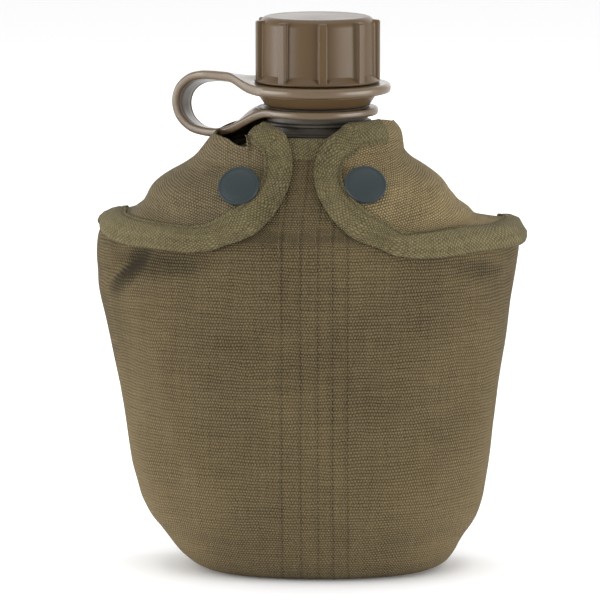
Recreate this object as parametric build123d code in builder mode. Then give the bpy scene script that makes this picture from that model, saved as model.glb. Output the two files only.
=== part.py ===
"""One-quart canteen in a canvas cover: bottle, screw cap with its strap, lined cover with two snapped
flaps, drain eyelet, and two slide keepers for a belt. Millimetres, +Z up, the front faces -Y."""

import os
from math import copysign, cos, hypot, pi, sin

from build123d import *

# ---- driving dimensions ----
NECK_X = 3.0  # neck axis, right of the middle of the body
BEND = 0.0032  # how far the kidney section bends back: y = BEND * x^2
SQUARE = 2.8  # exponent of the rounded section
WALL = 1.5  # bottle wall
# height, half width, half depth of the bottle's outside, from the bottom to the foot of the neck
LEVELS = (
    (3.7, 36.0, 14.5),
    (4.9, 42.5, 19.5),
    (8.2, 47.0, 23.0),
    (15.0, 50.8, 26.0),
    (26.0, 54.5, 28.2),
    (48.0, 61.0, 30.8),
    (80.0, 67.3, 32.6),
    (104.0, 71.8, 33.4),
    (118.0, 74.0, 33.5),
    (126.0, 72.5, 33.0),
    (134.0, 64.5, 31.0),
    (142.0, 51.5, 28.0),
    (149.0, 37.5, 24.8),
    (155.0, 26.5, 22.0),
    (160.0, 20.6, 20.6),
)
LINER = (0.2, 2.2)  # felt, offsets out from the bottle
CANVAS = (2.4, 3.7)  # duck panels
EDGE = (3.8, 4.5)  # flat edge tape on the panels
FLAP = (4.8, 6.0)  # flaps over the front panel
FLAP_TAPE = (4.8, 6.6)  # binding folded round the flap's edge
TOP_FRONT = 162.8  # top edge of the front panel
TOP_BACK = 160.5

NECK_R = 18.6
NECK_TOP = 200.0
PITCH = 4.2
TURNS = 1.75
THREAD_Z = 186.5
NECK_ROOT_R = 15.4
NECK_CREST_R = 16.8
CAP_ROOT_R = 17.2
CAP_CREST_R = 15.8
CAP_R = 21.0
RIB_R = 23.1
RIBS = 9
CAP_TOP = 205.8
CAP_Z = 181.7  # lower edge of the ribs
RING_Z = 177.8  # underside of the strap's upper ring
RING_T = 3.6
LOW_Z = 169.8  # underside of the strap's lower ring
LOW_T = 2.8
STRAP_W = 12.0

SNAP_X = 23.4
SNAP_Z = 148.0
SNAP_R = 7.6

KEEPER_X = 27.0
KEEPER_W = 19.0


# ---- shared geometry ----
def section_points(z, a, b, bend, count=28):
    points = []
    for i in range(count):
        t = 2 * pi * (i + 0.5) / count
        power = 2 / (2 + (SQUARE - 2) * min(1.0, max(0.0, (a - b) / 12)))
        x = a * copysign(abs(cos(t)) ** power, cos(t))
        y = b * copysign(abs(sin(t)) ** power, sin(t))
        points.append((x, y + bend * x * x))
    return points


def centre_x(z):
    """The body's middle is at x = 0, and its shoulder runs over to the neck."""
    return NECK_X * min(1.0, max(0.0, (z - 126) / 30))


def grown(offset):
    """LEVELS moved outward along the profile's normal."""
    rows = []
    for i, (z, a, b) in enumerate(LEVELS):
        z0, a0, b0 = LEVELS[max(i - 1, 0)]
        z1, a1, b1 = LEVELS[min(i + 1, len(LEVELS) - 1)]
        run = hypot(z1 - z0, a1 - a0)
        out = (z1 - z0) / run
        up = (a0 - a1) / run
        if i == 0:
            rows.append((z - offset, a + 0.35 * offset, b + 0.35 * offset))
        elif i == len(LEVELS) - 1:
            rows.append((z + 0.5 * offset, a + 0.9 * offset, b + 0.9 * offset))
        else:
            rows.append((z + up * offset, a + out * offset, b + max(out, 0.75) * offset))
    return rows


def body_solid(offset, neck_sleeve=False):
    rows = grown(offset)
    if neck_sleeve:
        z, a, b = rows[-1]
        rows.append((z + 7, a, b))
    with BuildPart() as body:
        for z, a, b in rows:
            bend = BEND * min(1.0, max(0.0, (156 - z) / 28))
            shift = centre_x(z)
            with BuildSketch(Plane.XY.offset(z)):
                with BuildLine():
                    Spline(*[(x + shift, y) for x, y in section_points(z, a, b, bend)], periodic=True)
                make_face()
        loft(ruled=True)
    return body.part


SOLIDS = {}


def layer(span):
    """The closed skin between two offsets from the bottle, open round the neck."""
    for offset in span:
        if offset not in SOLIDS:
            SOLIDS[offset] = body_solid(offset, neck_sleeve=True)
    with BuildPart() as skin:
        add(SOLIDS[span[1]])
        add(SOLIDS[span[0]], mode=Mode.SUBTRACT)
        with BuildSketch(Plane.XY.offset(154)):
            with Locations((NECK_X, 0)):
                Circle(20.4)
        extrude(amount=30, mode=Mode.SUBTRACT)
    return skin.part


def half_block(front, z0=-5, z1=175, gap=0.0):
    """Everything in front of, or behind, the bent middle surface of the body."""
    sign = -1 if front else 1
    edge = [(x, BEND * 0.85 * x * x + sign * gap) for x in (-95, -50, 0, 50, 95)]
    with BuildPart() as block:
        with BuildSketch(Plane.XY.offset(z0)):
            with BuildLine():
                Spline(*edge)
                Polyline(edge[-1], (95, sign * 90), (-95, sign * 90), edge[0])
            make_face()
        extrude(amount=z1 - z0)
    return block.part


def front_prism(points, depth=70):
    """A block with the given outline in front view, from y = -depth to y = +depth."""
    with BuildPart() as block:
        with BuildSketch(Plane.XZ.offset(-depth)):
            with BuildLine():
                Polyline(*points, close=True)
            make_face()
        extrude(amount=2 * depth)
    return block.part


def skin_y(x, z, offset, side):
    """Depth of a skin's surface at x and z: side -1 in front, +1 behind."""
    rows = grown(offset)
    for (z0, a0, b0), (z1, a1, b1) in zip(rows, rows[1:]):
        if z0 <= z <= z1:
            t = (z - z0) / (z1 - z0)
            a = a0 + t * (a1 - a0)
            b = b0 + t * (b1 - b0)
            bend = BEND * min(1.0, max(0.0, (156 - z) / 28))
            u = min(0.999, abs(x - centre_x(z)) / a)
            power = 2 + (SQUARE - 2) * min(1.0, max(0.0, (a - b) / 12))
            return side * b * (1 - u**power) ** (1 / power) + bend * (x - centre_x(z)) ** 2
    raise ValueError(z)


def skin_plane(x, z, offset):
    """A plane on the front of a skin, its normal pointing out."""
    e = 1.5
    y = skin_y(x, z, offset, -1)
    dx = (skin_y(x + e, z, offset, -1) - skin_y(x - e, z, offset, -1)) / (2 * e)
    dz = (skin_y(x, z + e, offset, -1) - skin_y(x, z - e, offset, -1)) / (2 * e)
    return Plane(origin=(x, y, z), z_dir=(dx, -1, dz))


def save(item, label, turn=0.0):
    """Writes a sub-part to its file, first turned about the neck's axis if asked."""
    part = item.part.rotate(Axis((NECK_X, 0, 0), (0, 0, 1)), turn) if turn else item.part
    part.label = label
    export_step(part, f"parts/{label}.step")
    return part


os.makedirs("parts", exist_ok=True)


def helix_ridge(root_r, crest_r, z_start, turns, phase, outward):
    """A trapezoid ridge swept along a helix, rooted just inside the wall it stands on."""
    base = root_r - 0.25 if outward else root_r + 0.25
    with BuildPart() as ridge:
        with BuildLine() as path:
            Helix(PITCH, PITCH * turns, root_r)
        with BuildSketch(Plane(origin=(root_r, 0, 0), x_dir=(1, 0, 0), z_dir=(0, -1, 0))):
            with BuildLine():
                Polyline(
                    (base - root_r, -0.85),
                    (crest_r - root_r, -0.35),
                    (crest_r - root_r, 0.35),
                    (base - root_r, 0.85),
                    close=True,
                )
            make_face()
        sweep(path=path.line, is_frenet=True)
    return ridge.part.rotate(Axis.Z, phase).moved(Location((NECK_X, 0, z_start)))


# ---- bottle ----
NECK_PROFILE = (
    (0, 150),
    (NECK_R, 150),
    (NECK_R, 162.7),
    (NECK_R + 1.0, 163.0),
    (NECK_R + 1.0, 163.7),
    (NECK_R, 164.0),
    (NECK_R, 166.4),
    (NECK_R + 1.0, 166.7),
    (NECK_R + 1.0, 167.4),
    (NECK_R, 167.7),
    (NECK_R, 172.8),
    (NECK_ROOT_R, 173.2),
    (NECK_ROOT_R, NECK_TOP - 0.6),
    (NECK_ROOT_R - 0.6, NECK_TOP),
    (0, NECK_TOP),
)
with BuildPart() as bottle:
    add(body_solid(0.0))
    with BuildSketch(Plane.XZ):
        with BuildLine():
            Polyline(*[(NECK_X + r, z) for r, z in NECK_PROFILE], close=True)
        make_face()
    revolve(axis=Axis((NECK_X, 0, 0), (0, 0, 1)))
    add(body_solid(-WALL), mode=Mode.SUBTRACT)
    with BuildSketch(Plane.XY.offset(145)):
        with Locations((NECK_X, 0)):
            Circle(13.4)
    extrude(amount=60, mode=Mode.SUBTRACT)
    add(helix_ridge(NECK_ROOT_R, NECK_CREST_R, THREAD_Z, TURNS, 0, True))
save(bottle, "bottle")

# ---- cap ----
with BuildPart() as cap:
    with BuildSketch(Plane.XZ):
        with BuildLine():
            Polyline(
                (NECK_X, CAP_TOP),
                (NECK_X + 17.2, CAP_TOP),
                (NECK_X + 19.6, CAP_TOP - 0.9),
                (NECK_X + 20.6, CAP_TOP - 3.0),
                (NECK_X + CAP_R, CAP_Z + 3.0),
                (NECK_X + RIB_R - 0.2, CAP_Z + 0.6),
                (NECK_X + RIB_R - 0.2, CAP_Z),
                (NECK_X + 18.9, CAP_Z),
                (NECK_X + 18.9, RING_Z - 0.3),
                (NECK_X + 21.6, RING_Z - 0.7),
                (NECK_X + 21.4, RING_Z - 1.8),
                (NECK_X + 19.4, 173.4),
                (NECK_X + CAP_ROOT_R, 173.4),
                (NECK_X + CAP_ROOT_R, 201.6),
                (NECK_X, 201.6),
                close=True,
            )
        make_face()
    revolve(axis=Axis((NECK_X, 0, 0), (0, 0, 1)))
    with BuildSketch(Plane.XY.offset(CAP_Z)):
        with Locations((NECK_X, 0)):
            with PolarLocations(CAP_R - 1.0, RIBS, start_angle=-85):
                with Locations((RIB_R - CAP_R + 1.0 - 1.55, 0)):
                    Rectangle(3.1, 3.0)
    extrude(amount=CAP_TOP - 2.4 - CAP_Z)
    add(helix_ridge(CAP_ROOT_R, CAP_CREST_R, THREAD_Z + PITCH / 2, TURNS, 0, False))
save(cap, "cap")

with BuildPart() as cap_gasket:
    with BuildSketch(Plane.XY.offset(NECK_TOP + 0.05)):
        with Locations((NECK_X, 0)):
            Circle(CAP_ROOT_R - 0.1)
            Circle(9.0, mode=Mode.SUBTRACT)
    extrude(amount=1.5)
save(cap_gasket, "cap_gasket")

# ---- strap, one moulding split where it bends ----
LOOP_X = -39.0
LOOP_Z = 174.2
LOOP_R = 11.9
BAND = 3.2
JOIN_X = NECK_X - 24.0
STRAP_TURN = -14.0  # the loop points left and a little backwards

with BuildPart() as strap_upper_ring:
    with BuildSketch(Plane.XY.offset(RING_Z)):
        with Locations((NECK_X, 0)):
            Circle(27.0)
        with Locations((JOIN_X - 1.5, 0)):
            Rectangle(9.0, STRAP_W)
        with Locations((NECK_X, 0)):
            Circle(19.2, mode=Mode.SUBTRACT)
    extrude(amount=RING_T)
    fillet(strap_upper_ring.edges().filter_by(GeomType.CIRCLE).group_by(SortBy.RADIUS)[-1], 0.6)
save(strap_upper_ring, "strap_upper_ring", STRAP_TURN)

with BuildPart() as strap_lower_ring:
    with BuildSketch(Plane.XY.offset(LOW_Z)):
        with Locations((NECK_X, 0)):
            Circle(22.4)
        with Locations((JOIN_X - 1.5, 0)):
            Rectangle(9.0, STRAP_W)
        with Locations((NECK_X, 0)):
            Circle(19.0, mode=Mode.SUBTRACT)
    extrude(amount=LOW_T)
save(strap_lower_ring, "strap_lower_ring", STRAP_TURN)

with BuildPart() as strap_loop:
    with BuildSketch(Plane.XZ.offset(-STRAP_W / 2)):
        with BuildLine():
            top = (JOIN_X - 6.1, RING_Z + RING_T)
            low = (JOIN_X - 6.1, LOW_Z)
            crown = (LOOP_X, LOOP_Z + LOOP_R)
            foot = (LOOP_X, LOOP_Z - LOOP_R)
            Spline(top, crown, tangents=[(-1, 0), (-1, 0)])
            ThreePointArc(crown, (LOOP_X - LOOP_R, LOOP_Z), foot)
            Spline(foot, low, tangents=[(1, 0), (1, 0)])
            Line(low, (low[0], low[1] + LOW_T))
            inner_foot = (LOOP_X, LOOP_Z - LOOP_R + BAND)
            inner_crown = (LOOP_X, LOOP_Z + LOOP_R - BAND)
            Spline((low[0], low[1] + LOW_T), inner_foot, tangents=[(-1, 0), (-1, 0)])
            ThreePointArc(inner_foot, (LOOP_X - LOOP_R + BAND, LOOP_Z), inner_crown)
            Spline(inner_crown, (top[0], RING_Z), tangents=[(1, 0), (1, 0)])
            Line((top[0], RING_Z), top)
        make_face()
    extrude(amount=STRAP_W)
save(strap_loop, "strap_loop", STRAP_TURN)

# ---- snap fasteners ----
SNAPS = {}
for side, name in ((-1, "left"), (1, "right")):
    SNAPS[name] = skin_plane(side * SNAP_X, SNAP_Z, CANVAS[1])


def snap_disc(plane, radius, low, high, hole=0.0):
    with BuildPart() as item:
        with BuildSketch(plane.offset(low)):
            Circle(radius)
            if hole:
                Circle(hole, mode=Mode.SUBTRACT)
        extrude(amount=high - low)
    return item.part


for name, plane in SNAPS.items():
    with BuildPart() as snap_stud:
        add(snap_disc(plane, 5.4, 0.02, 0.7))
        add(snap_disc(plane, 2.5, 0.5, 2.0))
        add(snap_disc(plane, 1.5, -1.6, 0.5))
    save(snap_stud, f"snap_stud_{name}")
    with BuildPart() as snap_socket:
        add(snap_disc(plane, 6.2, 1.05, 2.35, hole=4.7))
    save(snap_socket, f"snap_socket_{name}")
    with BuildPart() as snap_cap:
        add(snap_disc(plane, SNAP_R, 2.45, 3.5))
        with BuildSketch(plane.offset(3.5)):
            Circle(SNAP_R)
        extrude(amount=0.9, taper=50)
        with BuildSketch(plane.offset(2.4)):
            Circle(4.6)
        extrude(amount=0.7, mode=Mode.SUBTRACT)
    save(snap_cap, f"snap_cap_{name}")

with BuildPart() as stud_washers:
    for plane in SNAPS.values():
        add(snap_disc(plane, 4.6, -2.0, -1.4, hole=1.6))
save(stud_washers, "stud_washers")

# ---- cover: liner, panels, inner webbing ----
FRONT = half_block(True, gap=0.15)
BACK = half_block(False, gap=0.15)
WEB = [(NECK_X - 14.5, 28), (NECK_X + 11.5, 28), (NECK_X + 11.5, 153), (NECK_X - 14.5, 153)]

with BuildPart() as front_webbing:
    add(layer((1.2, LINER[1])))
    add(FRONT, mode=Mode.INTERSECT)
    add(front_prism(WEB), mode=Mode.INTERSECT)
save(front_webbing, "front_webbing")

with BuildPart() as liner_front:
    add(layer(LINER))
    add(half_block(True, z1=154, gap=0.15), mode=Mode.INTERSECT)
    add(front_webbing.part, mode=Mode.SUBTRACT)
    for plane in SNAPS.values():
        add(snap_disc(plane, 5.0, -2.3, -1.0), mode=Mode.SUBTRACT)
save(liner_front, "liner_front")

with BuildPart() as liner_back:
    add(layer(LINER))
    add(half_block(False, z1=154, gap=0.15), mode=Mode.INTERSECT)
save(liner_back, "liner_back")


def drain_hole(radius, z0, z1):
    with BuildPart() as hole:
        with BuildSketch(Plane.XY.offset(z0)):
            Circle(radius)
        extrude(amount=z1 - z0)
    return hole.part


with BuildPart() as front_panel:
    add(layer(CANVAS))
    add(half_block(True, z1=TOP_FRONT, gap=0.15), mode=Mode.INTERSECT)
    for plane in SNAPS.values():
        add(snap_disc(plane, 1.6, -2.5, 0.5), mode=Mode.SUBTRACT)
        add(snap_disc(plane, 4.7, -2.2, -1.35), mode=Mode.SUBTRACT)
    add(drain_hole(3.3, -2, 3), mode=Mode.SUBTRACT)
    add(drain_hole(6.2, -2, 0.8), mode=Mode.SUBTRACT)
save(front_panel, "front_panel")

with BuildPart() as back_panel:
    add(layer(CANVAS))
    add(half_block(False, z1=TOP_BACK, gap=0.15), mode=Mode.INTERSECT)
    add(drain_hole(3.3, -2, 3), mode=Mode.SUBTRACT)
    add(drain_hole(6.2, -2, 0.8), mode=Mode.SUBTRACT)
save(back_panel, "back_panel")

with BuildPart() as front_edge_binding:
    add(layer(EDGE))
    add(half_block(True, z0=155.8, z1=TOP_FRONT, gap=0.15), mode=Mode.INTERSECT)
save(front_edge_binding, "front_edge_binding")

# ---- drain eyelet ----
with BuildPart() as drain_eyelet:
    add(drain_hole(6.0, 0.0, 0.75))
    add(drain_hole(3.2, 0.0, 1.9))
    add(drain_hole(2.5, -1, 4), mode=Mode.SUBTRACT)
save(drain_eyelet, "drain_eyelet")

for label, item in (("liner_front", liner_front), ("liner_back", liner_back)):
    with BuildPart() as cut:
        add(item.part)
        add(drain_hole(3.0, 0, 4), mode=Mode.SUBTRACT)
        add(drain_hole(5.4, 0, 2.4), mode=Mode.SUBTRACT)
    save(cut, label)

with BuildPart() as drain_washer:
    with BuildSketch(Plane.XY.offset(1.32)):
        Circle(5.2)
        Circle(3.25, mode=Mode.SUBTRACT)
    extrude(amount=0.6)
save(drain_washer, "drain_washer")

# ---- flaps ----
FLAP_EDGE = (
    (5.6, 164.0),
    (4.7, 158.0),
    (4.5, 151.5),
    (5.8, 145.5),
    (9.6, 138.5),
    (15.9, 132.6),
    (23.6, 127.6),
    (32.8, 124.2),
    (41.7, 123.0),
    (50.5, 123.3),
    (61.0, 125.0),
    (72.0, 126.8),
    (96.0, 128.5),
)
TAPE_W = 9.5
FLAP_TOP = 166.5


def flap_block(side, inset):
    """The flap's outline in front view, drawn in by the width of its binding."""
    edge = [(side * x, z) for x, z in FLAP_EDGE]
    with BuildPart() as block:
        with BuildSketch(Plane.XZ.offset(-60)):
            with BuildLine():
                Polyline(*edge, (side * 96, 190), (side * 5.6, 190), close=True)
            make_face()
            if inset:
                offset(amount=-inset, kind=Kind.INTERSECTION)
        extrude(amount=120)
    return block.part


FLAP_FRONT = half_block(True, z1=FLAP_TOP, gap=0.15)
FLAP_SKIN = layer(FLAP)
TAPE_SKIN = layer(FLAP_TAPE)
for side, name in ((-1, "left"), (1, "right")):
    outline = flap_block(side, 0)
    inner = flap_block(side, TAPE_W)
    snap_hole = snap_disc(SNAPS[name], 6.3, 0.2, 3.2)
    with BuildPart() as flap:
        add(FLAP_SKIN)
        add(FLAP_FRONT, mode=Mode.INTERSECT)
        add(inner, mode=Mode.INTERSECT)
        add(snap_hole, mode=Mode.SUBTRACT)
    save(flap, f"flap_{name}")
    with BuildPart() as flap_binding:
        add(TAPE_SKIN)
        add(FLAP_FRONT, mode=Mode.INTERSECT)
        add(outline, mode=Mode.INTERSECT)
        add(inner, mode=Mode.SUBTRACT)
    save(flap_binding, f"flap_binding_{name}")
    yoke_edge = [(side * 3, 134), (side * 60, 122), (side * 95, 114), (side * 95, 170), (side * 3, 170)]
    with BuildPart() as flap_yoke:
        add(layer((CANVAS[1] + 0.1, FLAP[1])))
        add(half_block(False, z1=FLAP_TOP, gap=0.15), mode=Mode.INTERSECT)
        add(front_prism(yoke_edge), mode=Mode.INTERSECT)
    save(flap_yoke, f"flap_yoke_{name}")

# ---- hanger straps and slide keepers on the back ----
LEG_Y = 41.9
LEG_T = 1.2
BELT_GAP = 7.5
LEG_LOW = 52.0
LEG_TOP = 130.0
OUTER_LOW = 70.0
BACKING = body_solid(5.25, neck_sleeve=True)


def block(x0, x1, y0, y1, z0, z1):
    with BuildPart() as solid:
        with BuildSketch(Plane.XY.offset(z0)):
            with Locations(((x0 + x1) / 2, (y0 + y1) / 2)):
                Rectangle(x1 - x0, y1 - y0)
        extrude(amount=z1 - z0)
    return solid.part


for side, name in ((-1, "left"), (1, "right")):
    x = side * KEEPER_X
    half = KEEPER_W / 2
    with BuildPart() as hanger_strap:
        add(layer((3.8, 5.2)))
        add(half_block(False, gap=0.15), mode=Mode.INTERSECT)
        add(block(x - 12.7, x + 12.7, 0, 80, 74, 121.5), mode=Mode.INTERSECT)
    save(hanger_strap, f"hanger_strap_{name}")
    with BuildPart() as keeper_loops:
        for z in (80, 102):
            add(block(x - 12.7, x + 12.7, 30, LEG_Y + LEG_T + 1.6, z, z + 15))
        add(BACKING, mode=Mode.SUBTRACT)
        slot = block(x - half - 0.3, x + half + 0.3, LEG_Y - 0.3, LEG_Y + LEG_T + 0.3, 60, 135)
        add(slot, mode=Mode.SUBTRACT)
    save(keeper_loops, f"keeper_loops_{name}")
    far = LEG_Y + LEG_T + BELT_GAP
    mid = LEG_Y + LEG_T + BELT_GAP / 2
    with BuildPart() as keeper_clip:
        with BuildSketch(Plane.YZ.offset(x - half)):
            with BuildLine():
                Line((LEG_Y, LEG_LOW), (LEG_Y, LEG_TOP))
                ThreePointArc((LEG_Y, LEG_TOP), (mid, LEG_TOP + 4.95), (far + LEG_T, LEG_TOP))
                Line((far + LEG_T, LEG_TOP), (far + LEG_T, OUTER_LOW))
                Line((far + LEG_T, OUTER_LOW), (far - 2.8, OUTER_LOW))
                Line((far - 2.8, OUTER_LOW), (far - 2.8, OUTER_LOW - 6))
                Line((far - 2.8, OUTER_LOW - 6), (far - 4.0, OUTER_LOW - 6))
                Line((far - 4.0, OUTER_LOW - 6), (far - 4.0, OUTER_LOW + LEG_T))
                Line((far - 4.0, OUTER_LOW + LEG_T), (far, OUTER_LOW + LEG_T))
                Line((far, OUTER_LOW + LEG_T), (far, LEG_TOP))
                ThreePointArc((far, LEG_TOP), (mid, LEG_TOP + 3.75), (LEG_Y + LEG_T, LEG_TOP))
                Line((LEG_Y + LEG_T, LEG_TOP), (LEG_Y + LEG_T, LEG_LOW))
                Line((LEG_Y + LEG_T, LEG_LOW), (LEG_Y, LEG_LOW))
            make_face()
        extrude(amount=KEEPER_W)
        for edge in (-1, 1):
            corner = block(
                x + edge * 8.75 - 2.75, x + edge * 8.75 + 2.75, far - 5, far - 2, OUTER_LOW - 7, OUTER_LOW - 0.01
            )
            add(corner, mode=Mode.SUBTRACT)
    save(keeper_clip, f"keeper_clip_{name}")
    with BuildPart() as keeper_slide:
        add(block(x - 11.2, x + 11.2, LEG_Y - 1.3, LEG_Y + LEG_T + 1.3, 61, 72))
        add(block(x - 8.5, x + 8.5, LEG_Y + LEG_T + 1.3, far - 1.5, 61, 68.5))
        slot = block(x - half - 0.3, x + half + 0.3, LEG_Y - 0.3, LEG_Y + LEG_T + 0.3, 50, 80)
        add(slot, mode=Mode.SUBTRACT)
        add(block(x - 6.4, x + 6.4, far - 4.3, far - 2.5, 62.5, 80), mode=Mode.SUBTRACT)
    save(keeper_slide, f"keeper_slide_{name}")
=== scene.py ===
"""Looks of the canteen in its canvas cover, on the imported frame. Lengths are in millimetres until mesh()."""

import math
from functools import partial

import bpy
import numpy as np
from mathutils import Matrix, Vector


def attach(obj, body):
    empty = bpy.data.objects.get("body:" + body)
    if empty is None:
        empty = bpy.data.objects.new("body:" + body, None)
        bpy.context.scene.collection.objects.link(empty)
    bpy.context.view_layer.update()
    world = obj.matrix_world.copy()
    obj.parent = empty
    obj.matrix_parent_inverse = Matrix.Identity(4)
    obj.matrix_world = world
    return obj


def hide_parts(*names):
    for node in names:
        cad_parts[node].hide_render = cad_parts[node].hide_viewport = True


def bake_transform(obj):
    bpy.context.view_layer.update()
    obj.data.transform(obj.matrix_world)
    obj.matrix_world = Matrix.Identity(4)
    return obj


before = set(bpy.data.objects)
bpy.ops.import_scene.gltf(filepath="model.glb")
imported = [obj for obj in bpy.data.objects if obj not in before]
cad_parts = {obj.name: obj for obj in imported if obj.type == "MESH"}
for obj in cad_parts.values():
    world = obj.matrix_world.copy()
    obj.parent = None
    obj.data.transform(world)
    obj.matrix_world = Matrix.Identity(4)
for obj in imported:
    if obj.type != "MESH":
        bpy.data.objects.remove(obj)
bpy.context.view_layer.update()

MM = 0.001
CHART_UNIT = 0.01  # one mm of cloth on the UV chart
ROOT = "bottle_and_cover"
NECK_X = 3.0
FRONT = -math.pi / 2


# -------- meshes
def mesh(name, verts, faces, material, uv=None, smooth=True, body=ROOT, replaces=()):
    """A piece from points in mm. uv is one (u, v) in mm for each point."""
    data = bpy.data.meshes.new(name)
    points = [tuple(p) for p in np.asarray(verts, float) * MM]
    data.from_pydata(points, [], [tuple(int(i) for i in face) for face in faces])
    data.materials.append(material)
    if uv is not None:
        layer = data.uv_layers.new(name="cloth")
        loops = np.empty(len(data.loops), dtype=np.int64)
        data.loops.foreach_get("vertex_index", loops)
        layer.data.foreach_set("uv", (np.asarray(uv, float)[loops] * CHART_UNIT).astype(np.float32).ravel())
    if smooth:
        data.polygons.foreach_set("use_smooth", np.ones(len(data.polygons), dtype=bool))
    data.validate()
    obj = bpy.data.objects.new(name, data)
    bpy.context.scene.collection.objects.link(obj)
    if body:
        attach(obj, body)
    if replaces:
        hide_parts(*replaces)
    return obj


def run(points):
    """Length along a line to each of its points."""
    return np.concatenate([[0], np.cumsum(np.linalg.norm(np.diff(points, axis=0), axis=1))])


def look_up(where, along, table):
    """The rows of a table at places along it."""
    return np.column_stack([np.interp(where, along, column) for column in table.T])


def smoothed(table, width):
    """Columns averaged over width rows each way, which are lost at both ends."""
    kernel = np.hanning(2 * width + 1)
    kernel /= kernel.sum()
    return np.column_stack([np.convolve(column, kernel, "valid") for column in table.T])


def unit(vectors):
    return vectors / np.linalg.norm(vectors, axis=-1, keepdims=True)


def grid_faces(rows, columns, start=0, close_rows=False, close_columns=False, flip=False):
    """Quads of a grid stored row by row."""
    faces = []
    for i in range(rows if close_rows else rows - 1):
        for j in range(columns if close_columns else columns - 1):
            a = start + i * columns + j
            b = start + i * columns + (j + 1) % columns
            c = start + ((i + 1) % rows) * columns + (j + 1) % columns
            d = start + ((i + 1) % rows) * columns + j
            faces.append((a, d, c, b) if flip else (a, b, c, d))
    return faces


def lathe(profile, segments=160):
    """Points and faces of a closed profile of (radius, height) turned about the neck's axis."""
    turn = np.linspace(0, 2 * math.pi, segments, endpoint=False)
    cos, sin = np.cos(turn), np.sin(turn)
    rows = [np.column_stack([NECK_X + r * cos, r * sin, np.full(segments, z)]) for r, z in profile]
    return np.vstack(rows), grid_faces(len(profile), segments, close_rows=True, close_columns=True, flip=True)


def rounded(profile, radius, steps=4):
    """A closed polygon of (radius, height) with each corner cut to an arc."""
    points = np.asarray(profile, float)
    out = []
    count = len(points)
    for i in range(count):
        here = points[i]
        before = points[i - 1] - here
        after = points[(i + 1) % count] - here
        cut_before = min(radius, 0.45 * np.linalg.norm(before))
        cut_after = min(radius, 0.45 * np.linalg.norm(after))
        start = here + before / np.linalg.norm(before) * cut_before
        end = here + after / np.linalg.norm(after) * cut_after
        for t in np.linspace(0, 1, steps + 1):
            out.append((1 - t) ** 2 * start + 2 * t * (1 - t) * here + t * t * end)
    return [tuple(p) for p in out]


def tube(points, radius, sides=8):
    """A capped round tube along points."""
    path = np.asarray(points, float)
    tangents = unit(np.gradient(path, axis=0))
    up = np.array([0.0, 0.0, 1.0]) if abs(tangents[0][2]) < 0.9 else np.array([1.0, 0.0, 0.0])
    verts = []
    for point, tangent in zip(path, tangents):
        side = unit(np.cross(tangent, up))
        up = np.cross(side, tangent)
        for k in range(sides):
            angle = 2 * math.pi * k / sides
            verts.append(point + radius * (math.cos(angle) * side + math.sin(angle) * up))
    faces = grid_faces(len(path), sides, close_columns=True, flip=True)
    faces.append(tuple(range(sides)))
    last = (len(path) - 1) * sides
    faces.append(tuple(last + k for k in reversed(range(sides))))
    return np.array(verts), faces


def join(parts):
    """Several (points, faces) as one."""
    verts = []
    faces = []
    total = 0
    for points, quads in parts:
        verts.append(np.asarray(points, float))
        faces += [tuple(i + total for i in q) for q in quads]
        total += len(points)
    return np.vstack(verts), faces


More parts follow.
